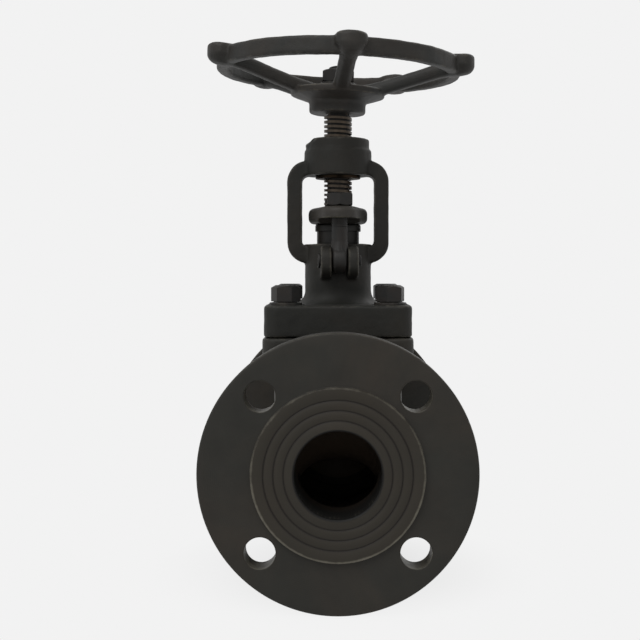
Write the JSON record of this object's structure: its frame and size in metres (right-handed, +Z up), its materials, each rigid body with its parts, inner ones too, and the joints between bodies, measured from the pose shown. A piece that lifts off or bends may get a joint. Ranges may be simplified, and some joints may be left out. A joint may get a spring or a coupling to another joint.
{
  "type": "globe valve",
  "caption": "Flanged steel globe valve with bolted bonnet, open yoke, gland eyebolts, rising stem and lobed handwheel, shown open.",
  "frame": {"origin": "on the flow line where the stem axis crosses it", "axes": "+Z up along the stem to the handwheel, +Y along the flow from inlet to outlet, +X to the right seen from the inlet"},
  "size_m": [0.1714, 0.23, 0.3393],
  "materials": {
    "cast_steel": "black-brown oxide over cast skin",
    "forged_steel": "black oxide, slightly oily",
    "cast_iron": "black oxide over cast skin",
    "stainless_steel": "turned",
    "stem_steel": "turned, greased thread",
    "bronze": "turned, dull",
    "graphite": "pressed graphite",
    "black_steel": "black oxide, worn corners"
  },
  "bodies": {
    "root": {"body": "cast_steel", "bonnet": "cast_steel", "bonnet_gasket": "graphite", "seat_ring": "stainless_steel", "backseat_bushing": "stainless_steel", "yoke_nut": "bronze", "yoke_nut_set_screw": "black_steel", "eyebolt_pin_front": "black_steel", "eyebolt_pin_rear": "black_steel", "packing_ring_1": "graphite", "packing_ring_2": "graphite", "packing_ring_3": "graphite", "packing_ring_4": "graphite", "packing_ring_5": "graphite", "bonnet_bolt_front_left": "black_steel", "bonnet_bolt_front_right": "black_steel", "bonnet_bolt_rear_left": "black_steel", "bonnet_bolt_rear_right": "black_steel", "bonnet_washer_front_left": "black_steel", "bonnet_washer_front_right": "black_steel", "bonnet_washer_rear_left": "black_steel", "bonnet_washer_rear_right": "black_steel"},
    "disc": {"disc": "stainless_steel", "disc_nut": "stainless_steel"},
    "stem": {"stem": "stem_steel", "handwheel": "cast_iron", "wheel_washer": "black_steel", "wheel_nut": "black_steel"},
    "gland": {"gland_follower": "forged_steel", "gland_flange": "forged_steel"},
    "eyebolt_front": {"eyebolt_front": "black_steel"},
    "eyebolt_rear": {"eyebolt_rear": "black_steel"},
    "gland_nut_front": {"gland_nut_front": "black_steel"},
    "gland_nut_rear": {"gland_nut_rear": "black_steel"}
  },
  "joints": [
    {"name": "disc_lift", "type": "slide", "parent": "root", "child": "disc", "axis": [0, 0, 1], "range_m": [-0.014, 0.002]},
    {"name": "stem_turn", "type": "hinge", "parent": "disc", "child": "stem", "pos_m": [0, 0, 0.2], "axis": [0, 0, 1], "range_deg": [-1680, 240]},
    {"name": "eyebolt_front_play", "type": "hinge", "parent": "root", "child": "eyebolt_front", "pos_m": [0.00101, -0.03038, 0.1215], "axis": [0.9995, 0.0332, 0], "range_deg": [-0.7, 0.7]},
    {"name": "eyebolt_rear_play", "type": "hinge", "parent": "root", "child": "eyebolt_rear", "pos_m": [-0.00101, 0.03038, 0.1215], "axis": [-0.9995, -0.0332, 0], "range_deg": [-0.7, 0.7]},
    {"name": "gland_nut_front_run", "type": "slide", "parent": "eyebolt_front", "child": "gland_nut_front", "axis": [0, 0, 1], "range_m": [-0.003, 0]},
    {"name": "gland_nut_rear_run", "type": "slide", "parent": "eyebolt_rear", "child": "gland_nut_rear", "axis": [0, 0, 1], "range_m": [-0.003, 0]},
    {"name": "gland_slide", "type": "slide", "parent": "root", "child": "gland", "axis": [0, 0, 1], "range_m": [-0.003, 0], "deforming": ["packing_ring_1", "packing_ring_2", "packing_ring_3", "packing_ring_4", "packing_ring_5"]}
  ],
  "couplings": [
    {"joint": "disc_lift", "follows": "stem_turn", "m_per_rad": 0.00047746},
    {"joint": "gland_nut_rear_run", "follows": "gland_nut_front_run", "ratio": 1},
    {"joint": "gland_slide", "follows": "gland_nut_front_run", "ratio": 1}
  ]
}
